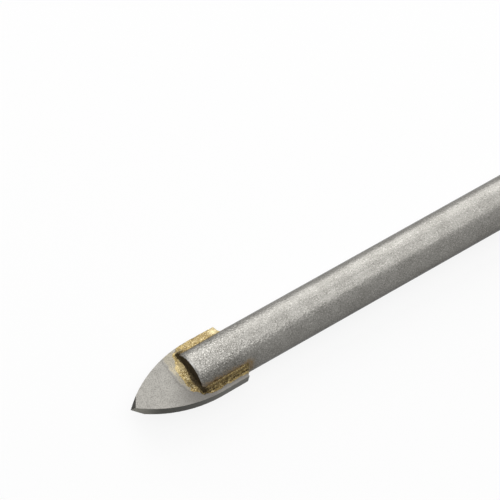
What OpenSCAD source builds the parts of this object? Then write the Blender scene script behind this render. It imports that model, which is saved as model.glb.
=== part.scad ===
// Spear-point drill bit for glass and ceramic tile: a ground carbide blade, brazed into
// the slotted end of a plain round shank. It lies on the shank, with its point toward +X.

/* [Shank] */
// Diameter of the round shank
shank_d = 4.76; // [4.4:0.02:5.2]
// Length of the shank, from its rear end to the ends of its two prongs
shank_len = 50.3; // [30:0.1:90]
// Edge break around the rear end of the shank
rear_chamfer = 0.4; // [0.1:0.05:0.8]
// Edge break around the ends of the prongs
rim_chamfer = 0.15; // [0.05:0.01:0.24]
// How far the ends of the prongs are closed in on the blade
prong_close = 0.03; // [0.01:0.01:0.08]

/* [Blade] */
// Cutting diameter, across both wings of the blade
cut_d = 6.35; // [6.1:0.05:7.5]
// Thickness of the carbide blade
blade_t = 1.2; // [0.9:0.05:1.5]
// Length of the blade, from its point to its back edge
blade_len = 11.3; // [10.5:0.1:14]
// Length of the ogive, from the point to where the wings run straight
ogive_len = 8.3; // [7.4:0.1:9.5]
// Narrowing of each straight wing toward the back edge
back_taper = 0.03; // [0.01:0.01:0.06]
// Relief ground on each flank behind its cutting edge, in degrees
flank_relief = 4.6; // [2:0.2:8]
// Lean of the point's relief facets from the blade's face, in degrees
facet_lean = 54; // [48:1:60]
// Turn of the facets from the axis toward the trailing flank, in degrees
facet_turn = 34; // [26:1:40]

/* [Seat] */
// Depth of the blade's seat in the slot
seat_depth = 4.6; // [3:0.1:6]
// Braze film on each face and at the back of the seated blade
film = 0.06; // [0.04:0.01:0.1]

/* [Braze] */
// Reach of the narrow fillet over the leading wing, from the side of the shank
fillet_reach = 0.5; // [0.3:0.02:0.6]
// Climb of the side fillets on the shank, from the blade's face
fillet_climb = 0.4; // [0.25:0.05:0.6]
// Hollow of a side fillet, as a share of its slope's length
fillet_hollow = 0.07; // [0.03:0.01:0.09]
// Bare edge left around the flooded trailing wing
bare_edge = 0.05; // [0.03:0.01:0.12]
// Reach of the apron over the blade, ahead of the prongs
apron_reach = 0.75; // [0.4:0.05:1.2]
// Climb of the apron on the ends of the prongs
apron_climb = 0.22; // [0.12:0.02:0.4]
// Slant of the apron's end at the leading wing
apron_slant = 0.7; // [0.3:0.05:1]
// Run of the braze along the shank, behind the wings
heel_reach = 0.7; // [0.4:0.05:1]

/* [Hidden] */
$fn = 96;

shank_r = shank_d / 2;
prong_r = shank_r - prong_close;
half_t = blade_t / 2;
slot_half = half_t + film;
nose = blade_len - seat_depth;
overall = shank_len + nose;

// Where the plain round of the shank ends: just behind the last of the braze
plain_end = blade_len + heel_reach + film;

// The flanks lean by the relief, so the ogive is narrower at mid-thickness than at a cutting edge
relief_shift = half_t * tan(flank_relief);
ogive_half = (cut_d / 2 - relief_shift) * cos(flank_relief);
ogive_r = (pow(ogive_len, 2) + pow(ogive_half, 2)) / (2 * ogive_half);
trailing_half = cut_d / 2 - 2 * relief_shift;

// Where the side of the shank crosses the blade's face, and how high the fillets climb on it
side_y = sqrt(pow(shank_r, 2) - pow(half_t, 2));
climb_z = half_t + fillet_climb;
climb_y = sqrt(pow(shank_r, 2) - pow(climb_z, 2));
flood_y = trailing_half - bare_edge;

// Puts the bit, drawn with its point at the origin, on the floor under its own middle
module placed() {
    translate([overall / 2, 0, shank_r]) children();
}

// Half a turn about the axis: both faces and both wings of the bit are alike
module both_faces() {
    for (turn = [0, 180]) rotate([turn, 0, 0]) children();
}

// Extrudes a section drawn across the bit (Y right, Z up) from x = from back to x = to
module along_axis(from, to) {
    translate([to, 0, 0]) rotate([90, 0, 90]) linear_extrude(from - to) children();
}

// Round bar as turned, before it is slotted
module shank_bar() {
    rotate([0, -90, 0]) rotate_extrude() polygon([
        [0, nose],
        [prong_r - rim_chamfer, nose],
        [prong_r, nose + rim_chamfer],
        [shank_r, plain_end],
        [shank_r, overall - rear_chamfer],
        [shank_r - rear_chamfer, overall],
        [0, overall]
    ]);
}

// Space of the slot, open at the prongs' ends
module slot(width_y, ahead) {
    translate([-blade_len - film, -width_y / 2, -slot_half])
        cube([seat_depth + film + ahead, width_y, 2 * slot_half]);
}

// Outline of the blade: two arcs that meet in the point, then nearly straight wings
module ogive(half_w) {
    intersection() {
        translate([-ogive_len, half_w - ogive_r]) circle(ogive_r);
        translate([-ogive_len, ogive_r - half_w]) circle(ogive_r);
        translate([-ogive_len, -half_w]) square([ogive_len, 2 * half_w]);
    }
    polygon([
        [-ogive_len, half_w],
        [-blade_len, half_w - back_taper],
        [-blade_len, back_taper - half_w],
        [-ogive_len, -half_w]
    ]);
}

// Everything in front of one relief facet, which passes through the point
module facet_cut() {
    rotate([0, facet_lean, -facet_turn])
        translate([-blade_len / 2, -blade_len / 2, 0]) cube(blade_len);
}

module blade() {
    difference() {
        intersection() {
            rotate([-flank_relief, 0, 0])
                linear_extrude(4 * blade_t, center = true) ogive(ogive_half);
            translate([-blade_len, -cut_d, -half_t]) cube([2 * blade_len, 2 * cut_d, blade_t]);
        }
        both_faces() facet_cut();
    }
}

// Hollow fillet over the blade's face, from inside the shank out to toe_y
module fillet_section(toe_y) {
    toe = [toe_y, half_t];
    top = [climb_y, climb_z];
    slope = toe - top;
    sag = fillet_hollow * norm(slope);
    hollow_r = (pow(norm(slope) / 2, 2) + pow(sag, 2)) / (2 * sag);
    outward = [-slope[1], slope[0]] / norm(slope);
    peak = top + outward * sag;
    difference() {
        polygon([[0, half_t], toe + [sag, 0], peak, [0, peak[1]]]);
        translate((toe + top) / 2 + outward * (hollow_r - sag)) circle(hollow_r);
    }
}

// Wedge of braze that ran out over the blade, ahead of a prong
module apron() {
    intersection() {
        translate([0, flood_y, 0]) rotate([90, 0, 0]) linear_extrude(2 * flood_y) polygon([
            [-nose, half_t],
            [-nose + apron_reach, half_t],
            [-nose, half_t + apron_climb]
        ]);
        linear_extrude(shank_d) polygon([
            [-nose, side_y],
            [-nose + apron_reach, side_y - apron_slant],
            [-nose + apron_reach, -flood_y],
            [-nose, -flood_y]
        ]);
    }
}

// Braze on one face: a narrow fillet at the leading wing, and the trailing wing flooded
module face_braze() {
    along_axis(-nose, -blade_len) fillet_section(side_y + fillet_reach);
    intersection() {
        union() {
            along_axis(-nose, -blade_len) mirror([1, 0]) fillet_section(trailing_half + bare_edge);
            apron();
        }
        linear_extrude(shank_d) ogive(flood_y);
    }
}

// Braze that ran out behind one wing, down to the side of the shank
module heel() {
    intersection() {
        linear_extrude(shank_d, center = true) polygon([
            [-blade_len, 0],
            [-blade_len, flood_y - back_taper],
            [-blade_len - heel_reach, climb_y],
            [-blade_len - heel_reach, 0]
        ]);
        translate([0, flood_y, 0]) rotate([90, 0, 0]) linear_extrude(flood_y) polygon([
            [-blade_len, climb_z],
            [-blade_len - heel_reach, half_t],
            [-blade_len - heel_reach, -half_t],
            [-blade_len, -climb_z]
        ]);
    }
}

// Steel shank with the slot that splits its end into two prongs
module shank() {
    color("lightslategray") placed() difference() {
        shank_bar();
        slot(2 * shank_d, nose);
    }
}

// Ground carbide blade
module carbide_tip() {
    color("dimgray") placed() blade();
}

// Brazing alloy: the film in the slot and what ran out around it
module braze() {
    color("goldenrod") placed() {
        difference() {
            intersection() {
                slot(2 * shank_d, 0);
                shank_bar();
            }
            blade();
        }
        difference() {
            both_faces() {
                face_braze();
                heel();
            }
            shank_bar();
        }
    }
}

shank();
carbide_tip();
braze();
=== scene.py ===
"""Glass and tile drill bit: finishes, run-out braze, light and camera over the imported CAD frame."""

import logging
import math
from dataclasses import dataclass, field
from enum import Enum
from typing import Any, NamedTuple

import bmesh
import bpy
from mathutils import Euler, Matrix, Vector


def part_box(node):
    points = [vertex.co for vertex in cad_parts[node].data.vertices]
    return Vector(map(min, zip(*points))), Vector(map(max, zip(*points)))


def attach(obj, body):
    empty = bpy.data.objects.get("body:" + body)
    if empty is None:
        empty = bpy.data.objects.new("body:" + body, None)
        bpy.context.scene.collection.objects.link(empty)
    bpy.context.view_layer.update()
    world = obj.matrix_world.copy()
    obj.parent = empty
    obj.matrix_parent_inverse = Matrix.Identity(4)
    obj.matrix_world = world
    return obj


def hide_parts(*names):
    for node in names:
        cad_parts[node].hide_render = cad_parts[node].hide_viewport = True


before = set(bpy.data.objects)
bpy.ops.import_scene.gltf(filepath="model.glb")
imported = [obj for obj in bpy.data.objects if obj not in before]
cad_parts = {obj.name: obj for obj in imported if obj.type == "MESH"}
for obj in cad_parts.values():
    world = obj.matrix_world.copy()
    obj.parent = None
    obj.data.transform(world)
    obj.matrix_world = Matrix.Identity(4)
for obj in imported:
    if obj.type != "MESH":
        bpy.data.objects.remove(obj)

log = logging.getLogger("drill_bit")

MM = 0.001
BODY = "root"
MERGE_DISTANCE = 1e-7
GRAIN_ROUGHNESS = 0.55
FIELD_OUTSIDE = -1.0
FIELD_SURFACE = 0.0

Colour = tuple[float, float, float, float]
Triple = tuple[float, float, float]


def rgb(red: float, green: float, blue: float) -> Colour:
    """A colour given in display values.

    Args:
        red: 0 to 255.
        green: 0 to 255.
        blue: 0 to 255.

    Returns:
        The colour as linear light, by the sRGB curve, with full alpha.
    """
    def linear(value: float) -> float:
        """One channel."""
        share = value / 255.0
        return share / 12.92 if share <= 0.04045 else ((share + 0.055) / 1.055) ** 2.4
    return linear(red), linear(green), linear(blue), 1.0


def grey(light: float) -> Colour:
    """A neutral colour of that linear light."""
    return light, light, light, 1.0


class Sock:
    """A node socket that can be used in Python arithmetic; each operation adds a Math node."""

    def __init__(self, tree: "NodeTree", socket: bpy.types.NodeSocket) -> None:
        """Wraps one output socket of a tree."""
        self.tree = tree
        self.socket = socket

    def _math(self, operation: str, *operands: Any) -> "Sock":
        """Adds a Math node of that operation on the operands."""
        return self.tree.node("ShaderNodeMath", {"operation": operation}, dict(enumerate(operands)))

    def __add__(self, other: Any) -> "Sock":
        """self + other."""
        return self._math("ADD", self, other)

    def __radd__(self, other: Any) -> "Sock":
        """other + self."""
        return self._math("ADD", other, self)

    def __sub__(self, other: Any) -> "Sock":
        """self - other."""
        return self._math("SUBTRACT", self, other)

    def __rsub__(self, other: Any) -> "Sock":
        """other - self."""
        return self._math("SUBTRACT", other, self)

    def __mul__(self, other: Any) -> "Sock":
        """self * other."""
        return self._math("MULTIPLY", self, other)

    def __rmul__(self, other: Any) -> "Sock":
        """other * self."""
        return self._math("MULTIPLY", other, self)

    def __truediv__(self, other: Any) -> "Sock":
        """self / other."""
        return self._math("DIVIDE", self, other)

    def __rtruediv__(self, other: Any) -> "Sock":
        """other / self."""
        return self._math("DIVIDE", other, self)

    def __neg__(self) -> "Sock":
        """self with its sign turned."""
        return self._math("MULTIPLY", self, -1.0)

    def __abs__(self) -> "Sock":
        """Size of self without its sign."""
        return self._math("ABSOLUTE", self)

    def sign(self) -> "Sock":
        """-1, 0 or 1."""
        return self._math("SIGN", self)

    def sqrt(self) -> "Sock":
        """Square root."""
        return self._math("SQRT", self)

    def hypot(self, other: "Sock") -> "Sock":
        """Length of the long side of a right triangle with self and other as its short sides."""
        return (self * self + other * other).sqrt()

    def at_least(self, other: Any) -> "Sock":
        """The larger of the two."""
        return self._math("MAXIMUM", self, other)

    def at_most(self, other: Any) -> "Sock":
        """The smaller of the two."""
        return self._math("MINIMUM", self, other)

    def below(self, limit: float) -> "Sock":
        """1 where self is under the limit, and 0 elsewhere."""
        return self._math("LESS_THAN", self, limit)

    def centred(self) -> "Sock":
        """Noise from 0 to 1 as a swing around 0."""
        return self - 0.5

    def ramp(self, start: float, full: float) -> "Sock":
        """Smooth step of self.

        Args:
            start: Value at which the step is 0; it may lie above full for a falling step.
            full: Value at which the step is 1.

        Returns:
            A value from 0 to 1.
        """
        if start > full:
            return 1.0 - self.ramp(full, start)
        settings = {"interpolation_type": "SMOOTHSTEP"}
        inputs = {0: self, 1: start, 2: full, 3: 0.0, 4: 1.0}
        return self.tree.node("ShaderNodeMapRange", settings, inputs)


class NodeTree:
    """Adds nodes to a shader or geometry tree from their type, settings and inputs."""

    def __init__(self, tree: bpy.types.NodeTree) -> None:
        """Wraps a tree."""
        self.tree = tree

    def node(
        self,
        kind: str,
        settings: dict[str, Any] | None = None,
        inputs: dict[Any, Any] | None = None,
        output: int | str = 0,
    ) -> Sock:
        """Adds one node.

        Args:
            kind: Node type, such as ShaderNodeMath.
            settings: Properties of the node, set before its sockets.
            inputs: Values or links of its sockets, by name or number.
            output: The output socket to hand back.

        Returns:
            That output, wrapped, or the first input of a node that has no output.
        """
        made = self.tree.nodes.new(kind)
        for name, value in (settings or {}).items():
            setattr(made, name, value)
        for key, value in (inputs or {}).items():
            self.feed(made.inputs[key], value)
        return Sock(self, made.outputs[output]) if made.outputs else Sock(self, made.inputs[0])

    def feed(self, socket: bpy.types.NodeSocket, value: Any) -> None:
        """Links or sets an input socket.

        Args:
            socket: The input.
            value: A wrapped output to link, or a plain value.
        """
        if isinstance(value, Sock):
            self.tree.links.new(value.socket, socket)
        else:
            socket.default_value = value

    def outputs(self, kind: str) -> dict[str, Sock]:
        """Adds a node that only gives values, and hands back all its outputs by name."""
        made = self.node(kind).socket.node
        return {socket.name: Sock(self, socket) for socket in made.outputs if socket.name}

    def split(self, vector: Sock) -> tuple[Sock, Sock, Sock]:
        """The three parts of a vector, as values."""
        made = self.node("ShaderNodeSeparateXYZ", None, {0: vector}).socket.node
        return Sock(self, made.outputs[0]), Sock(self, made.outputs[1]), Sock(self, made.outputs[2])

    def blend(self, factor: Sock, under: Any, over: Any) -> Sock:
        """Colour under, covered by colour over as far as factor says."""
        settings = {"data_type": "RGBA", "clamp_factor": True}
        return self.node("ShaderNodeMix", settings, {"Factor": factor, 6: under, 7: over}, 2)

    def noise(
        self,
        vector: Sock,
        per_mm: Any,
        detail: float = 2.0,
        roughness: float = 0.5,
        seed: Any = 0.0,
    ) -> Sock:
        """Noise from 0 to 1.

        Args:
            vector: Where, in millimetres.
            per_mm: Lumps in a millimetre.
            detail: Finer layers on the first.
            roughness: How strong each finer layer is.
            seed: Picks the pattern.

        Returns:
            The noise.
        """
        inputs = {"Vector": vector, "W": seed, "Scale": per_mm, "Detail": detail, "Roughness": roughness}
        return self.node("ShaderNodeTexNoise", {"noise_dimensions": "4D"}, inputs)


class Ramp(NamedTuple):
    """A mask that is 0 at start and 1 at full, whichever of the two lies higher."""

    start: float
    full: float

    def over(self, value: Sock) -> Sock:
        """The mask over a value."""
        return value.ramp(self.start, self.full)

    def times(self, size: float) -> "Ramp":
        """The ramp with both its ends given as shares of a size."""
        return Ramp(self.start * size, self.full * size)


class Hump(NamedTuple):
    """A mask that is 1 at a place and falls to 0 at a width to either side."""

    place: float
    width: float

    def over(self, value: Sock) -> Sock:
        """The mask over a value."""
        return abs(value - self.place).ramp(self.width, 0.0)


class Share(NamedTuple):
    """A value that goes from plain, where a mask is 0, to full, where it is 1."""

    plain: float
    full: float

    def by(self, mask: Sock) -> Sock:
        """The value under a mask."""
        return self.plain + (self.full - self.plain) * mask


class Grain(Enum):
    """Sizes of surface grain, in lumps per millimetre."""

    GRIT = 9.0
    FLECKS = 8.0
    PEEL = 4.0
    BLOTCH = 1.6
    CLOUD = 0.5

    def on(self, tree: NodeTree, in_mm: Sock, detail: float = 2.0, seed: float = 0.0) -> Sock:
        """Noise of this size at a place."""
        return tree.noise(in_mm, self.value, detail, GRAIN_ROUGHNESS, seed)


@dataclass(frozen=True)
class Bit:
    """Sizes of the drill bit that its finishes and braze refer to, in millimetres.

    The point's and the axis's place come from the frame. The other sizes are the CAD model's, and
    clear is how far ahead of the prongs a finish takes to come in.
    """

    tip_x: float
    axis_z: float
    shank_r: float = 2.38
    prong_r: float = 2.35
    half_t: float = 0.6
    nose: float = 6.7
    blade_len: float = 11.3
    ogive_len: float = 8.3
    ogive_r: float = 12.57
    wing: float = 3.04
    clear: float = 0.3

    @classmethod
    def from_frame(cls) -> "Bit":
        """Reads the point's and the axis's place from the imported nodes.

        Returns:
            The bit's sizes.
        """
        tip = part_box("carbide_tip")[1]
        low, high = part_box("shank")
        return cls(tip_x=tip[0] / MM, axis_z=(low[2] + high[2]) / 2 / MM)

    @property
    def side(self) -> float:
        """Half the width of a prong where it stands on the blade's face."""
        return math.sqrt(self.prong_r ** 2 - self.half_t ** 2)

    def local(self, tree: NodeTree, metres: Sock) -> "Spot":
        """Where a point of the frame lies on the bit."""
        x, y, z = tree.split(metres)
        return Spot(self, self.tip_x - x / MM, y / MM, z / MM - self.axis_z)

    def wing_edge(self, s: Sock) -> Sock:
        """Half the width of the blade's face at a distance behind its point."""
        bend = (self.ogive_len - s).at_least(0.0)
        return self.wing - self.ogive_r + (self.ogive_r ** 2 - bend * bend).sqrt()


@dataclass(frozen=True)
class Spot:
    """A place on the bit, in millimetres.

    s runs back from the point, y across the wings and z up from the axis.
    """

    bit: Bit
    s: Sock
    y: Sock
    z: Sock

    @property
    def q(self) -> Sock:
        """Across the wings of the face that the place is on: positive over its leading wing."""
        return self.y * self.z.sign()

    @property
    def rise(self) -> Sock:
        """Height over the blade's face."""
        return abs(self.z) - self.bit.half_t

    @property
    def radius(self) -> Sock:
        """Distance from the axis."""
        return self.y.hypot(self.z)

    @property
    def ahead(self) -> Sock:
        """Distance ahead of the ends of the prongs."""
        return self.bit.nose - self.s

    @property
    def clear(self) -> Sock:
        """Mask that comes in ahead of the ends of the prongs."""
        return self.ahead.ramp(0.0, self.bit.clear)

    @property
    def behind(self) -> Sock:
        """Distance behind the blade's back edge."""
        return self.s - self.bit.blade_len

    @property
    def gap(self) -> Sock:
        """Distance outside the foot of a prong, along the blade's face."""
        beside = (abs(self.y) - self.bit.side).at_least(0.0)
        return self.ahead.at_least(0.0).hypot(beside)


class Finish:
    """Base of the finishes: makes a material with one Principled shader.

    The last word of a finish's ramp or hump says what it is laid over: along and across are places
    on the bit, reach is a distance from a prong, a line or an edge, lean is a part of the surface's
    normal, and mask is noise. A share is how strongly a colour covers those under it.
    """

    name = "finish"

    def make(self, bit: Bit) -> bpy.types.Material:
        """Builds the material.

        Args:
            bit: Sizes that place the finish on the bit.

        Returns:
            The material.
        """
        material = bpy.data.materials.new(self.name)
        material.use_nodes = True
        tree = NodeTree(material.node_tree)
        shader = material.node_tree.nodes["Principled BSDF"]
        metres = tree.outputs("ShaderNodeTexCoord")["Object"]
        scaling = {0: metres, "Scale": 1.0 / MM}
        in_mm = tree.node("ShaderNodeVectorMath", {"operation": "SCALE"}, scaling)
        for socket, value in self.paint(tree, bit.local(tree, metres), in_mm).items():
            tree.feed(shader.inputs[socket], value)
        return material

    def paint(self, tree: NodeTree, spot: Spot, in_mm: Sock) -> dict[str, Any]:
        """Values or links for the shader's sockets.

        Args:
            tree: The material's tree.
            spot: The shaded place on the bit.
            in_mm: Object coordinates in millimetres, for grain.

        Returns:
            Socket name to value or link.
        """
        raise NotImplementedError

    @staticmethod
    def normal(tree: NodeTree) -> tuple[Sock, Sock, Sock]:
        """Parts of the surface's own normal."""
        return tree.split(tree.outputs("ShaderNodeTexCoord")["Normal"])

    @staticmethod
    def bump(tree: NodeTree, height: Sock, depth: float, strength: float) -> Sock:
        """Bump from a height of 0 to 1 that stands for depth millimetres."""
        inputs = {"Strength": strength, "Distance": depth * MM, "Height": height}
        return tree.node("ShaderNodeBump", None, inputs)


@dataclass(frozen=True)
class BlastedSteel(Finish):
    """Bead-blasted shank: speckled grey, a painted highlight broken along the rim, a burnt end face and
    braze stain.

    It was heated near the braze, where its grain is stronger and it is darkened by soot, with painted
    shade added over its leading side.
    """

    name: str = "blasted_steel"
    mean: Colour = rgb(150, 148, 143)
    dark: Colour = rgb(82, 79, 74)
    # Soot colour; over the leading side it also stands for painted shade
    soot_and_shade: Colour = rgb(74, 71, 64)
    glint: Colour = rgb(230, 227, 220)
    # Painted highlight colour of the prongs' rims
    rim_highlight: Colour = rgb(250, 248, 243)
    burnt: Colour = rgb(78, 69, 54)
    ember: Colour = rgb(110, 95, 68)
    stain: Colour = rgb(132, 106, 64)
    heat_along: Ramp = Ramp(15.0, 9.0)
    cloud_mask: Ramp = Ramp(0.4, 0.65)
    cloud_share: float = 0.2
    streak_mask: Ramp = Ramp(0.5, 0.7)
    streak_share: float = 0.08
    streak_draw: Triple = (0.12, 1.0, 1.0)
    pit_mask: Ramp = Ramp(0.5, 0.36)
    pit_share: Share = Share(0.5, 0.85)
    fleck_mask: Ramp = Ramp(0.52, 0.66)
    fleck_share: Share = Share(0.3, 0.55)
    soot_shade_across: Ramp = Ramp(0.9, 1.9)
    soot_shade_share: Share = Share(0.08, 0.48)
    climb_reach: Ramp = Ramp(0.95, 0.4)
    run_reach: Ramp = Ramp(1.0, 0.0)
    stain_lobes: float = 0.6
    stain_fringe: float = 0.8
    stain_mask: Ramp = Ramp(0.42, 0.58)
    stain_share: Share = Share(0.4, 0.9)
    rim_inner_lean: Ramp = Ramp(0.3, 0.5)
    rim_outer_lean: Ramp = Ramp(0.95, 0.85)
    rim_leading_across: Ramp = Ramp(0.9, -0.3)
    rim_leading_share: Share = Share(0.08, 1.0)
    rim_trailing_across: Ramp = Ramp(-1.5, 0.0)
    rim_mask: Ramp = Ramp(0.4, 0.6)
    rim_share: Share = Share(0.75, 1.0)
    end_lean: Ramp = Ramp(0.85, 0.97)
    end_along: Ramp = Ramp(-1.0, -0.5)
    ember_mask: Ramp = Ramp(0.5, 0.66)
    metallic: Share = Share(0.5, 0.02)
    roughness: Share = Share(0.22, 0.62)
    specular: float = 0.05
    tint: Colour = grey(0.3)
    pit_weight: float = 0.6
    fleck_weight: float = 0.4
    peel_along: Ramp = Ramp(24.0, 13.0)
    peel_weight: Share = Share(1.05, 3.0)
    bump_depth: float = 0.08
    bump_strength: float = 0.35

    def paint(self, tree: NodeTree, spot: Spot, in_mm: Sock) -> dict[str, Any]:
        """Lays grain, soot, stain, the rim and the end face over each other.

        Args:
            tree: The material's tree.
            spot: The shaded place on the bit.
            in_mm: Object coordinates in millimetres, for grain.

        Returns:
            Socket name to value or link.
        """
        forward, _, _ = self.normal(tree)
        pits = Grain.GRIT.on(tree, in_mm)
        flecks = Grain.FLECKS.on(tree, in_mm, detail=3.0, seed=5.0)
        cloud = Grain.CLOUD.on(tree, in_mm)
        blotch = Grain.BLOTCH.on(tree, in_mm)
        streaks = tree.noise(self.drawn_out(tree, in_mm), Grain.FLECKS.value)
        peel = Grain.PEEL.on(tree, in_mm, seed=9.0)

        # Grain, stronger toward the heated end, and soot with painted shade over the leading side
        heat = self.heat_along.over(spot.s)
        dusk = self.cloud_mask.over(cloud) * self.cloud_share
        dusk = dusk + self.streak_mask.over(streaks) * self.streak_share
        colour = tree.blend(dusk, self.mean, self.dark)
        colour = tree.blend(self.pit_mask.over(pits) * self.pit_share.by(heat), colour, self.dark)
        glints = self.fleck_mask.over(flecks) * self.fleck_share.by(heat)
        colour = tree.blend(glints, colour, self.glint)
        sooted_and_shaded = heat * self.soot_shade_share.by(self.soot_shade_across.over(spot.q))
        colour = tree.blend(sooted_and_shaded, colour, self.soot_and_shade)

        # Braze stain that climbs the prongs beside the blade
        climb = spot.rise - self.stain_lobes * blotch.centred() - self.stain_fringe * flecks.centred()
        stained = self.climb_reach.over(climb) * self.run_reach.over(spot.behind - blotch)
        stained = stained * self.stain_share.by(self.stain_mask.over(flecks))
        colour = tree.blend(stained, colour, self.stain)

        # Painted highlight along the prongs' rims, faint over the leading side and gone at the trailing
        # corner, and their burnt end faces
        rim = self.rim_inner_lean.over(forward) * self.rim_outer_lean.over(forward)
        rim = rim * self.rim_leading_share.by(self.rim_leading_across.over(spot.q))
        rim = rim * self.rim_trailing_across.over(spot.q)
        rim = rim * self.rim_share.by(self.rim_mask.over(flecks))
        colour = tree.blend(rim, colour, self.rim_highlight)
        singed = tree.blend(self.ember_mask.over(flecks), self.burnt, self.ember)
        end_face = self.end_lean.over(forward) * self.end_along.over(spot.ahead)
        colour = tree.blend(end_face, colour, singed)

        height = pits * self.pit_weight + flecks * self.fleck_weight
        height = height + peel * self.peel_weight.by(self.peel_along.over(spot.s))
        return {
            "Base Color": colour,
            "Metallic": self.metallic.by(end_face),
            "Roughness": self.roughness.by(end_face),
            "Specular IOR Level": self.specular,
            "Specular Tint": self.tint,
            "Normal": self.bump(tree, height, self.bump_depth, self.bump_strength),
        }

    def drawn_out(self, tree: NodeTree, in_mm: Sock) -> Sock:
        """The place, drawn out along the bar so that grain on it becomes streaks."""
        inputs = {0: in_mm, 1: self.streak_draw}
        return tree.node("ShaderNodeVectorMath", {"operation": "MULTIPLY"}, inputs)


@dataclass(frozen=True)
class GroundCarbide(Finish):
    """Sintered carbide plate: matt grainy faces stained near the braze, with dark ground flanks coloured
    by a painted reflection.

    Ahead of the prongs a thin film of braze ends in a tide line, with one light bloom inside it and
    painted shade over and around it. The line draws in and then turns around the leading corner of a
    prong.
    """

    name: str = "ground_carbide"
    face: Colour = rgb(188, 185, 178)
    shade: Colour = rgb(138, 135, 130)
    grit: Colour = rgb(116, 112, 106)
    # The flank and facet colours are painted reflection
    flank_tip_reflection: Colour = rgb(204, 201, 187)
    flank_mid_reflection: Colour = rgb(60, 58, 47)
    flank_back_reflection: Colour = rgb(104, 102, 92)
    facet_reflection: Colour = rgb(70, 68, 63)
    film: Colour = rgb(190, 179, 150)
    bloom: Colour = rgb(222, 209, 178)
    blotch_mask: Ramp = Ramp(0.4, 0.7)
    blotch_share: float = 0.25
    shade_across: Ramp = Ramp(-0.2, 2.0)
    shade_along: Ramp = Ramp(2.5, 6.0)
    tide_reach: float = 1.58
    tide_lobes: float = 0.5
    tide_draw: float = 0.2
    draw_across: Ramp = Ramp(0.0, 1.2)
    tide_turn: float = 1.2
    turn_across: Ramp = Ramp(1.2, 2.4)
    # Painted shade ahead of the prongs, measured from the tide line
    front_shade_reach: Ramp = Ramp(0.6, 0.05)
    front_shade_across: Hump = Hump(0.2, 1.2)
    front_shade_share: float = 0.5
    film_reach: Ramp = Ramp(-0.08, -0.35)
    film_share: float = 0.5
    bloom_across: Hump = Hump(-1.1, 0.8)
    bloom_share: float = 0.65
    line_reach: Hump = Hump(0.0, 0.17)
    line_mask: Ramp = Ramp(0.4, 0.6)
    line_share: Share = Share(0.15, 0.55)
    grit_mask: Ramp = Ramp(0.54, 0.38)
    grit_share: float = 0.5
    # A painted highlight along the leading wing's edge
    edge_reach: Ramp = Ramp(0.14, 0.04)
    edge_along: Ramp = Ramp(-0.6, -1.6)
    edge_highlight_share: float = 0.25
    flank_lean: Ramp = Ramp(0.9, 0.75)
    facet_lean: Ramp = Ramp(0.3, 0.5)
    mid_along: Ramp = Ramp(0.3, 2.6)
    back_along: Ramp = Ramp(5.2, 9.0)
    metallic: float = 0.1
    roughness: Share = Share(0.6, 0.45)
    specular: float = 0.2
    grit_weight: float = 0.5
    pit_weight: float = 0.5
    bump_depth: float = 0.025
    bump_strength: float = 0.4

    def paint(self, tree: NodeTree, spot: Spot, in_mm: Sock) -> dict[str, Any]:
        """Lays shading, the braze's film, grain and the ground flanks over each other.

        Args:
            tree: The material's tree.
            spot: The shaded place on the bit.
            in_mm: Object coordinates in millimetres, for grain.

        Returns:
            Socket name to value or link.
        """
        _, _, up = self.normal(tree)
        grit = Grain.GRIT.on(tree, in_mm)
        pits = Grain.GRIT.on(tree, in_mm, seed=3.0)
        blotch = Grain.BLOTCH.on(tree, in_mm)

        # Faces, with painted shade toward the back of the leading wing
        colour = tree.blend(self.blotch_mask.over(blotch) * self.blotch_share, self.face, self.shade)
        shaded = self.shade_across.over(spot.q) * self.shade_along.over(spot.s)
        colour = tree.blend(shaded, colour, self.shade)

        # Painted shade ahead of the prongs around the tide line, and the film of braze between the
        # prongs and the tide line
        tide = spot.gap + self.tide_lobes * blotch.centred() - self.tide_reach
        tide = tide + self.tide_draw * self.draw_across.over(spot.q)
        tide = tide + self.tide_turn * self.turn_across.over(spot.q)
        front_shade = self.front_shade_reach.over(tide) * self.front_shade_across.over(spot.q) * spot.clear
        colour = tree.blend(front_shade * self.front_shade_share, colour, self.shade)
        film = self.film_reach.over(tide) * spot.clear
        colour = tree.blend(film * self.film_share, colour, self.film)
        bloom = film * self.bloom_across.over(spot.q)
        colour = tree.blend(bloom * self.bloom_share, colour, self.bloom)
        line = self.line_reach.over(tide) * spot.clear
        line = line * self.line_share.by(self.line_mask.over(pits))
        colour = tree.blend(line, colour, self.grit)

        # Grain over all of it, and a painted highlight along the leading wing's edge
        colour = tree.blend(self.grit_mask.over(grit) * self.grit_share, colour, self.grit)
        edge = self.edge_reach.over(spot.bit.wing_edge(spot.s) - spot.q)
        edge = edge * self.edge_along.over(spot.ahead)
        colour = tree.blend(edge * self.edge_highlight_share, colour, self.face)

        # Ground flanks in painted reflection, bright at the point, with its two facets dark
        flank = self.flank_lean.over(abs(up))
        ground = tree.blend(self.mid_along.over(spot.s), self.flank_tip_reflection, self.flank_mid_reflection)
        ground = tree.blend(self.back_along.over(spot.s), ground, self.flank_back_reflection)
        ground = tree.blend(self.facet_lean.over(abs(up)), ground, self.facet_reflection)
        colour = tree.blend(flank, colour, ground)

        height = grit * self.grit_weight + pits * self.pit_weight
        return {
            "Base Color": colour,
            "Metallic": self.metallic,
            "Roughness": self.roughness.by(flank),
            "Specular IOR Level": self.specular,
            "Normal": self.bump(tree, height, self.bump_depth, self.bump_strength),
        }


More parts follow.
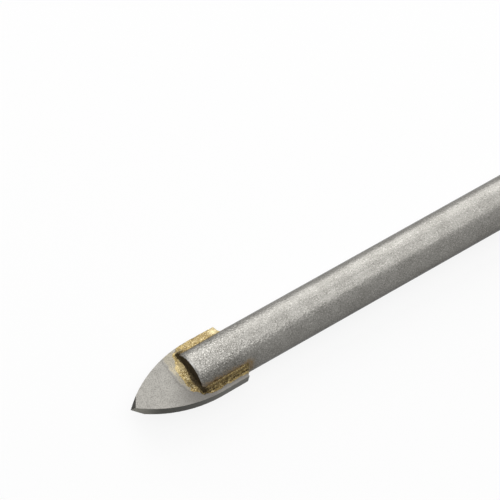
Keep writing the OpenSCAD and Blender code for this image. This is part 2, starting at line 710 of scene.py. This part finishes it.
@dataclass(frozen=True)
class RunBraze(Finish):
    """Brazing alloy as it ran: grainy gold, browner in its hollows, with burnt flux and painted shadow
    at the prongs.

    It is dull over the leading wing and in the flood, light in the apron over the trailing wing, with a
    painted highlight at the back of the flood, and darker at the leading corner of a prong. The reach of
    the band of burnt flux and painted shadow at a prong's foot is given in widths of that band, which
    swells toward that corner.
    """

    name: str = "run_braze"
    gold: Colour = rgb(180, 159, 106)
    crest: Colour = rgb(230, 213, 167)
    brown: Colour = rgb(98, 79, 48)
    # Painted highlight colour
    highlight_shine: Colour = rgb(240, 227, 182)
    # Burnt flux colour, also used for painted shadow in the band at a prong's foot
    flux_and_shadow: Colour = rgb(40, 31, 18)
    leading_across: Ramp = Ramp(1.2, 2.0)
    dull_along: Ramp = Ramp(9.2, 10.8)
    dull_share: Share = Share(0.45, 0.15)
    mottle_mask: Ramp = Ramp(0.4, 0.6)
    mottle_share: Share = Share(0.3, 1.7)
    flood_across: Ramp = Ramp(-1.9, -2.4)
    flood_along: Ramp = Ramp(7.6, 8.6)
    flood_share: float = 0.38
    blotch_mask: Ramp = Ramp(0.42, 0.62)
    blotch_share: float = 0.6
    pit_mask: Ramp = Ramp(0.53, 0.37)
    fleck_mask: Ramp = Ramp(0.52, 0.66)
    fleck_share: Share = Share(1.0, 0.5)
    light_across: Hump = Hump(-1.1, 0.8)
    light_share: float = 0.3
    back_highlight_across: Hump = Hump(-2.5, 0.7)
    back_highlight_along: Hump = Hump(-0.4, 0.8)
    back_highlight_mask: Ramp = Ramp(0.4, 0.6)
    back_highlight_share: Share = Share(0.4, 1.0)
    edge_lobes: float = 0.2
    edge_fringe: float = 0.25
    dark_patch_across: Hump = Hump(0.9, 0.95)
    dark_patch_reach: Hump = Hump(0.7, 0.45)
    dark_patch_share: float = 0.65
    contact_width: float = 0.24
    contact_swell: float = 0.3
    swell_across: Hump = Hump(0.9, 1.3)
    contact_pinch: float = 0.12
    pinch_across: Hump = Hump(-1.0, 0.6)
    contact_reach: Ramp = Ramp(1.05, 0.55)
    contact_along: Ramp = Ramp(-0.9, -0.1)
    contact_beside: float = 0.5
    crack_reach: Hump = Hump(0.3, 0.09)
    crack_mask: Ramp = Ramp(0.35, 0.5)
    contact_share: float = 0.9
    metallic: float = 0.35
    roughness: float = 0.45
    specular: float = 0.1
    pit_weight: float = 0.6
    fleck_weight: float = 0.4
    bump_depth: float = 0.06
    bump_strength: float = 0.5

    def paint(self, tree: NodeTree, spot: Spot, in_mm: Sock) -> dict[str, Any]:
        """Lays grain, dull and bright places and burnt flux over each other.

        Args:
            tree: The material's tree.
            spot: The shaded place on the bit.
            in_mm: Object coordinates in millimetres, for grain.

        Returns:
            Socket name to value or link.
        """
        pits = Grain.GRIT.on(tree, in_mm, detail=3.0, seed=1.0)
        flecks = Grain.FLECKS.on(tree, in_mm, detail=3.0, seed=2.0)
        blotch = Grain.BLOTCH.on(tree, in_mm)
        mottle = Grain.PEEL.on(tree, in_mm, seed=4.0)

        # Grain, with dull places over the leading wing and in the flood
        leading = self.leading_across.over(spot.q)
        dull = leading * self.dull_share.by(self.dull_along.over(spot.s))
        dull = dull * self.mottle_share.by(self.mottle_mask.over(mottle))
        flood = self.flood_across.over(spot.q) * self.flood_along.over(spot.s)
        dull = dull + self.flood_share * flood
        dull = (self.blotch_mask.over(blotch) * self.blotch_share).at_least(dull)
        colour = tree.blend(dull, self.gold, self.brown)
        colour = tree.blend(self.pit_mask.over(pits), colour, self.brown)
        glints = self.fleck_mask.over(flecks) * self.fleck_share.by(leading)
        colour = tree.blend(glints, colour, self.crest)

        # Light part of the apron, and a painted highlight at the back of the flood
        light = self.light_across.over(spot.q) * spot.clear
        colour = tree.blend(light * self.light_share, colour, self.crest)
        back_highlight = self.back_highlight_across.over(spot.q) * self.back_highlight_along.over(spot.behind)
        back_highlight = back_highlight * self.back_highlight_share.by(self.back_highlight_mask.over(flecks))
        colour = tree.blend(back_highlight, colour, self.highlight_shine)

        # A darker patch at the leading corner, and burnt flux with painted shadow around the foot of a
        # prong
        spread = spot.gap + self.edge_fringe * flecks.centred() + self.edge_lobes * blotch.centred()
        dark_patch = self.dark_patch_across.over(spot.q) * self.dark_patch_reach.over(spread) * spot.clear
        colour = tree.blend(dark_patch * self.dark_patch_share, colour, self.flux_and_shadow)
        width = self.contact_width + self.contact_swell * self.swell_across.over(spot.q)
        width = width - self.contact_pinch * self.pinch_across.over(spot.q)
        front = self.contact_along.over(spot.ahead).at_least(self.contact_beside * leading)
        contact_shadow = self.contact_reach.over(spread / width) * front
        crack = self.crack_reach.over(spread) * leading * self.crack_mask.over(blotch)
        colour = tree.blend(contact_shadow.at_least(crack) * self.contact_share, colour, self.flux_and_shadow)

        height = pits * self.pit_weight + flecks * self.fleck_weight
        return {
            "Base Color": colour,
            "Metallic": self.metallic,
            "Roughness": self.roughness,
            "Specular IOR Level": self.specular,
            "Normal": self.bump(tree, height, self.bump_depth, self.bump_strength),
        }


@dataclass
class SolidPiece:
    """A piece whose CAD solid shows as it is, and only gets its finish."""

    bit: Bit
    node: str
    finish: Finish

    def dress(self) -> None:
        """Gives the node's object the finish."""
        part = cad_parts[self.node]
        part.data.materials.clear()
        part.data.materials.append(self.finish.make(self.bit))
        log.info("dressed %s in %s", self.node, self.finish.name)


@dataclass
class RunOut:
    """Braze that ran out around the seated blade, grown as one lumpy mass over both of its faces.

    Lengths are in millimetres. A reach is measured along the blade's face from the foot of a prong,
    and a rise up from that face. A ramp that ends in across is in shares of a prong's half width,
    and one that ends in along is ahead of the ends of the prongs. The rooms are what the grown
    space has beyond the mass, the last two of them in reaches.
    """

    bit: Bit
    finish: Finish = field(default_factory=RunBraze)
    voxel: float = 0.05
    apron_reach: float = 0.95
    corner_reach: float = 0.3
    corner_rise: float = 0.25
    corner_across: Ramp = Ramp(1.08, 0.62)
    corner_half_width: float = 0.4
    corner_half_length: float = 0.45
    pinch_reach: float = 0.45
    pinch_across: Ramp = Ramp(-0.4, -1.0)
    fillet_reach: float = 0.52
    fillet_across: Ramp = Ramp(0.0, 1.0)
    fillet_along: Ramp = Ramp(0.0, -0.8)
    flood_reach: float = 1.05
    flood_across: Ramp = Ramp(0.0, -1.0)
    flood_along: Ramp = Ramp(0.1, -0.7)
    under_share: float = 0.8
    under_z: Ramp = Ramp(0.1, -0.1)
    apron_rise: float = 0.2
    side_rise: float = 0.48
    side_along: Ramp = Ramp(0.1, -0.5)
    slope: Share = Share(0.6, 1.0)
    least_share: float = -0.7
    heel_reach: float = 0.7
    heel_half: float = 1.2
    heel_lead: Share = Share(0.35, 1.0)
    heel_corner: Ramp = Ramp(-1.5, 1.5)
    heel_skin: float = 0.04
    heel_lap: float = 0.05
    wing_lap: float = 0.03
    lobe: float = 0.5
    lobe_grain: float = 1.6
    edge_lobes: float = 2.0
    grain: float = 7.0
    grain_rise: float = 0.09
    embed: float = 0.06
    side_room: float = 0.15
    front_room: float = 2.0
    back_room: float = 1.6
    least_points: int = 500
    seed: int = 7

    def build(self) -> None:
        """Grows the mass, dresses it and puts it in place of the plain solid."""
        group = self._tree()
        grower = bpy.data.objects.new("run_out_grower", bpy.data.meshes.new("run_out_seed"))
        bpy.context.collection.objects.link(grower)
        modifier = grower.modifiers.new("run_out", "NODES")
        modifier.node_group = group
        settings = {**self._sizes(), "Material": self.finish.make(self.bit)}
        for socket in group.interface.items_tree:
            if socket.name in settings:
                modifier[socket.identifier] = settings[socket.name]
        grown = grower.evaluated_get(bpy.context.evaluated_depsgraph_get())
        mesh = bpy.data.meshes.new_from_object(grown)
        bpy.data.objects.remove(grower)
        self._face_outwards(mesh)
        piece = bpy.data.objects.new("braze_run_out", mesh)
        bpy.context.collection.objects.link(piece)
        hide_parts("braze")
        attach(piece, BODY)
        log.info("grew %s with %d faces", piece.name, len(mesh.polygons))

    @staticmethod
    def _face_outwards(mesh: bpy.types.Mesh) -> None:
        """Merges doubles and turns every face outwards.

        Args:
            mesh: The mesh to clean in place.
        """
        work = bmesh.new()
        work.from_mesh(mesh)
        bmesh.ops.remove_doubles(work, verts=work.verts, dist=MERGE_DISTANCE)
        bmesh.ops.recalc_face_normals(work, faces=work.faces)
        work.to_mesh(mesh)
        work.free()

    def _sizes(self) -> dict[str, float]:
        """The tree's inputs by name.

        Returns:
            Name to value.
        """
        return {
            "Voxel": self.voxel,
            "Apron Reach": self.apron_reach,
            "Corner Reach": self.corner_reach,
            "Pinch Reach": self.pinch_reach,
            "Fillet Reach": self.fillet_reach,
            "Flood Reach": self.flood_reach,
            "Heel Reach": self.heel_reach,
            "Apron Rise": self.apron_rise,
            "Side Rise": self.side_rise,
            "Corner Rise": self.corner_rise,
            "Lobe": self.lobe,
            "Grain": self.grain,
            "Grain Rise": self.grain_rise,
            "Seed": float(self.seed),
        }

    def _tree(self) -> bpy.types.NodeTree:
        """The node tree that grows the mass from a field.

        Returns:
            The tree, with a named input for each of its sizes.
        """
        group = bpy.data.node_groups.new("run_out", "GeometryNodeTree")
        group.interface.new_socket("Geometry", in_out="OUTPUT", socket_type="NodeSocketGeometry")
        for name in self._sizes():
            group.interface.new_socket(name, in_out="INPUT", socket_type="NodeSocketFloat")
        group.interface.new_socket("Material", in_out="INPUT", socket_type="NodeSocketMaterial")
        tree = NodeTree(group)
        asked = tree.outputs("NodeGroupInput")
        low, high = self._domain()
        cells = [(top - bottom) / asked["Voxel"] for bottom, top in zip(low, high)]
        skin = tree.node("GeometryNodeVolumeCube", None, {
            "Density": self._field(tree, asked), "Background": FIELD_OUTSIDE, "Min": low, "Max": high,
            "Resolution X": cells[0], "Resolution Y": cells[1], "Resolution Z": cells[2],
        })
        island = tree.node("GeometryNodeInputMeshIsland")
        counted = {"Value": 1.0, "Group ID": island}
        points = tree.node("GeometryNodeAccumulateField", {"domain": "POINT"}, counted, "Total")
        place = (self.bit.tip_x * MM, 0.0, self.bit.axis_z * MM)
        gridded = {"resolution_mode": "GRID"}
        # Each step takes the geometry of the one before it
        for step, settings, inputs in (
            ("VolumeToMesh", gridded, {"Threshold": FIELD_SURFACE}),
            ("DeleteGeometry", None, {"Selection": points.below(self.least_points)}),
            ("Transform", None, {"Translation": place, "Scale": (MM, MM, MM)}),
            ("SetShadeSmooth", None, {}),
            ("RealizeInstances", None, {}),
            ("SetMaterial", None, {"Material": asked["Material"]}),
        ):
            skin = tree.node("GeometryNode" + step, settings, {0: skin, **inputs})
        tree.node("NodeGroupOutput", None, {0: skin})
        return group

    def _domain(self) -> tuple[Triple, Triple]:
        """The space that the mass grows in.

        Returns:
            Its two corners, measured from the bit's point.
        """
        side = self.bit.wing + self.side_room
        top = self.bit.half_t + self.heel_half
        ahead = self.bit.nose - self.front_room * self.apron_reach
        behind = self.bit.blade_len + self.back_room * self.heel_reach
        return (-behind, -side, -top), (-ahead, side, top)

    def _reach(self, spot: Spot, asked: dict[str, Sock]) -> Sock:
        """How far the braze ran from the foot of a prong, before its lobes.

        Args:
            spot: A place on the bit.
            asked: The tree's own inputs.

        Returns:
            The reach there.
        """
        side = self.bit.side
        apron, corner, pinch = asked["Apron Reach"], asked["Corner Reach"], asked["Pinch Reach"]
        front = corner + (apron - corner) * self.corner_across.times(side).over(spot.q)
        front = front - (apron - pinch) * self.pinch_across.times(side).over(spot.q)
        flood = (asked["Flood Reach"] - pinch) * self.flood_across.times(side).over(spot.q)
        flood = flood * self.flood_along.over(spot.ahead)
        fillet = (asked["Fillet Reach"] - corner) * self.fillet_across.times(side).over(spot.q)
        fillet = fillet * self.fillet_along.over(spot.ahead)
        under = Share(1.0, self.under_share).by(self.under_z.over(spot.z))
        return (front + flood + fillet) * under

    def _field(self, tree: NodeTree, asked: dict[str, Sock]) -> Sock:
        """The mass as a field.

        Args:
            tree: The tree to add nodes to.
            asked: The tree's own inputs.

        Returns:
            A field that is positive inside the braze.
        """
        bit, seed = self.bit, asked["Seed"]
        position = tree.node("GeometryNodeInputPosition")
        x, y, z = tree.split(position)
        spot = Spot(bit, -x, y, z)
        lobes = asked["Lobe"] * tree.noise(position, self.lobe_grain, seed=seed).centred()
        lumps = tree.noise(position, asked["Grain"], roughness=GRAIN_ROUGHNESS, seed=seed).centred()
        lumps = asked["Grain Rise"] * lumps
        mass = self._over_face(spot, asked, lobes, lumps)
        mass = mass.at_least(self._heel(spot, asked, lobes, lumps))
        outside_shank = (spot.radius - (bit.prong_r - self.embed)).at_least(spot.ahead + self.embed)
        outside_blade = (spot.rise + self.embed).at_least(spot.behind + self.embed)
        return mass.at_most(outside_shank).at_most(outside_blade)

    def _over_face(self, spot: Spot, asked: dict[str, Sock], lobes: Sock, lumps: Sock) -> Sock:
        """Apron, fillet and flood over a face of the blade.

        Args:
            spot: A place on the bit.
            asked: The tree's own inputs.
            lobes: Swing of the outer edge.
            lumps: Swing of the surface.

        Returns:
            A field that is positive inside them.
        """
        wide = self._reach(spot, asked) * (1.0 + self.edge_lobes * lobes)
        share = (1.0 - spot.gap / wide).at_least(self.least_share)
        apron, side = asked["Apron Rise"], asked["Side Rise"]
        rise = apron + (side - apron) * self.side_along.over(spot.ahead)
        corner = Hump(self.bit.side, self.corner_half_width).over(abs(spot.y))
        corner = corner * Hump(0.0, self.corner_half_length).over(spot.ahead)
        rise = rise + asked["Corner Rise"] * corner
        top = rise * share * self.slope.by(share) + lumps
        inside_wing = self.bit.wing_edge(spot.s) - abs(spot.y) + lumps
        return (top - spot.rise).at_most(inside_wing).at_most(self.wing_lap - spot.behind)

    def _heel(self, spot: Spot, asked: dict[str, Sock], lobes: Sock, lumps: Sock) -> Sock:
        """Braze behind the wings, thinning out along the shank.

        Args:
            spot: A place on the bit.
            asked: The tree's own inputs.
            lobes: Swing of the outer edge.
            lumps: Swing of the surface.

        Returns:
            A field that is positive inside it.
        """
        bit = self.bit
        lead = self.heel_lead.by(self.heel_corner.over(spot.y * spot.z))
        run = (1.0 - spot.behind / (asked["Heel Reach"] * lead * (1.0 + lobes))).at_least(0.0)
        height = spot.z / self.heel_half
        crown = (1.0 - height * height).at_least(0.0)
        outer = bit.shank_r - self.embed + (bit.wing + self.embed - bit.shank_r) * run * crown + lumps
        heel = (outer - spot.radius).at_most(spot.behind + self.heel_lap)
        return heel.at_most(run * crown - self.heel_skin)


@dataclass
class Softbox:
    """A soft lamp over the bit, in metres, degrees and watts."""

    name: str
    lean: float
    size: tuple[float, float]
    power: float
    distance: float = 0.5
    back: float = -0.12

    def build(self) -> None:
        """Hangs the lamp, leaned from overhead toward +Y by lean degrees."""
        lamp = bpy.data.lights.new(self.name, "AREA")
        lamp.shape = "RECTANGLE"
        lamp.size, lamp.size_y = self.size
        lamp.energy = self.power
        rig = bpy.data.objects.new(self.name, lamp)
        lean = math.radians(self.lean)
        rig.location = (self.back, self.distance * math.sin(lean), self.distance * math.cos(lean))
        rig.rotation_euler = (-lean, 0.0, 0.0)
        bpy.context.collection.objects.link(rig)
        log.info("hung %s", self.name)


@dataclass
class Stage:
    """White floor and soft studio light around the bit."""

    floor_half: float = 2.0
    floor_grey: float = 0.2
    glow: float = 0.88
    fill: float = 0.06
    lamps: tuple[Softbox, ...] = (
        Softbox("key", lean=-56.0, size=(0.5, 0.52), power=2.4),
        Softbox("top", lean=5.5, size=(0.5, 0.52), power=1.62),
    )

    def build(self) -> None:
        """Makes the floor, the lamps and the world."""
        self._floor()
        for lamp in self.lamps:
            lamp.build()
        self._world()

    @staticmethod
    def _seen(tree: NodeTree) -> Sock:
        """Tells the rays that show the background: the camera's, reflected and refracted ones.

        Args:
            tree: The tree to add nodes to.

        Returns:
            1 for such a ray, and 0 for any other.
        """
        path = tree.outputs("ShaderNodeLightPath")
        shown = path["Is Camera Ray"].at_least(path["Is Glossy Ray"])
        return shown.at_least(path["Is Transmission Ray"])

    def _floor(self) -> None:
        """A plain floor, white to the camera, that keeps the bit's shadow."""
        half = self.floor_half
        corners = [(-half, -half, 0.0), (half, -half, 0.0), (half, half, 0.0), (-half, half, 0.0)]
        mesh = bpy.data.meshes.new("floor")
        mesh.from_pydata(corners, [], [(0, 1, 2, 3)])
        mesh.materials.append(self._floor_material())
        floor = bpy.data.objects.new("floor", mesh)
        bpy.context.collection.objects.link(floor)

    def _floor_material(self) -> bpy.types.Material:
        """White for the camera and in reflections, and a grey diffuse floor for other light.

        Returns:
            The material.
        """
        material = bpy.data.materials.new("pale_floor")
        material.use_nodes = True
        material.node_tree.nodes.clear()
        tree = NodeTree(material.node_tree)
        plain = tree.node("ShaderNodeBsdfDiffuse", None, {"Color": grey(self.floor_grey)})
        glow = tree.node("ShaderNodeEmission", None, {"Color": grey(1.0), "Strength": self.glow})
        shadowed = tree.node("ShaderNodeBsdfDiffuse", None, {"Color": grey(1.0 - self.glow)})
        white = tree.node("ShaderNodeAddShader", None, {0: glow, 1: shadowed})
        mixed = tree.node("ShaderNodeMixShader", None, {0: self._seen(tree), 1: plain, 2: white})
        tree.node("ShaderNodeOutputMaterial", None, {"Surface": mixed})
        return material

    def _world(self) -> None:
        """An even grey fill, white where the camera or a reflection looks past the floor."""
        world = bpy.data.worlds.new("studio")
        world.use_nodes = True
        bpy.context.scene.world = world
        tree = NodeTree(world.node_tree)
        background = world.node_tree.nodes["Background"]
        tree.feed(background.inputs["Color"], grey(1.0))
        tree.feed(background.inputs["Strength"], Share(self.fill, 1.0).by(self._seen(tree)))


@dataclass
class Camera:
    """The photograph's view: where it aims, from where, and with which lens."""

    aim_mm: Triple = (-15.80, -4.56, 8.69)
    azimuth: float = 137.04
    elevation: float = 58.36
    roll: float = 9.66
    distance_mm: float = 275.53
    lens_mm: float = 212.99
    sensor_mm: float = 36.0
    clip_mm: float = 5.0

    def build(self, bit: Bit) -> None:
        """Makes the scene's camera.

        Args:
            bit: Gives the point that aim_mm is measured from.
        """
        camera = bpy.data.cameras.new("camera")
        camera.lens = self.lens_mm
        camera.sensor_width = self.sensor_mm
        camera.clip_start = self.clip_mm * MM
        rig = bpy.data.objects.new("camera", camera)
        tilt = math.radians(90.0 - self.elevation)
        turn = Euler((tilt, 0.0, math.radians(self.azimuth))).to_matrix()
        turn = turn @ Matrix.Rotation(math.radians(self.roll), 3, "Z")
        aim = (Vector((bit.tip_x, 0.0, bit.axis_z)) + Vector(self.aim_mm)) * MM
        eye = aim + turn @ Vector((0.0, 0.0, self.distance_mm * MM))
        rig.matrix_world = Matrix.Translation(eye) @ turn.to_4x4()
        bpy.context.collection.objects.link(rig)
        bpy.context.scene.camera = rig


def main() -> None:
    """Builds and dresses every piece, then the stage and the camera."""
    logging.basicConfig(level=logging.INFO)
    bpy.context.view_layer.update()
    bpy.context.scene.view_settings.view_transform = "Standard"
    bit = Bit.from_frame()
    SolidPiece(bit, "shank", BlastedSteel()).dress()
    SolidPiece(bit, "carbide_tip", GroundCarbide()).dress()
    RunOut(bit).build()
    Stage().build()
    Camera().build(bit)


if __name__ == "__main__":
    main()
